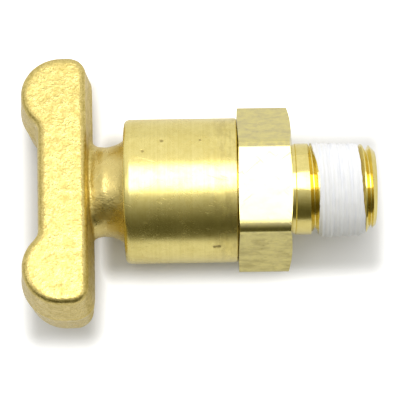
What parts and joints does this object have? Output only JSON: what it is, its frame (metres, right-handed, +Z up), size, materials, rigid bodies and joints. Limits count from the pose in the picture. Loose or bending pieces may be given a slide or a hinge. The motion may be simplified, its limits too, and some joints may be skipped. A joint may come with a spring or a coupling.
{
  "type": "drain cock",
  "caption": "Brass drain cock: a forged T-handle with a hollow skirt screws up and down a hexagon body with a taper pipe thread, and so opens or closes a drain at an outside seat.",
  "frame": {"origin": "On the valve axis, at the face of the hexagon that the pipe shank leaves.", "axes": "+X along the axis and out of the pipe thread, +Z up as the cock lies on a bench, with a flat of the hexagon 4 degrees from level, +Y across."},
  "size_m": [0.0541, 0.0412, 0.0228],
  "materials": {
    "forged_brass": "shot-blasted forging, skirt turned",
    "turned_brass": "drawn flats and turned ends",
    "seat_rubber": "smooth black rubber",
    "sealant": "dry white thread sealant"
  },
  "bodies": {
    "body": {"hex_body": "turned_brass", "thread_sealant": "sealant"},
    "seat": {"seat_disc": "seat_rubber"},
    "handle": {"tee_handle": "forged_brass"}
  },
  "joints": [
    {"name": "seat_travel", "type": "slide", "parent": "body", "child": "seat", "axis": [-1, 0, 0], "range_m": [0, 0.003]},
    {"name": "handle_turn", "type": "hinge", "parent": "seat", "child": "handle", "pos_m": [-0.02, 0, 0], "axis": [-1, 0, 0], "range_deg": [0, 720]}
  ],
  "couplings": [
    {"joint": "seat_travel", "follows": "handle_turn", "m_per_rad": 0.00023873}
  ]
}
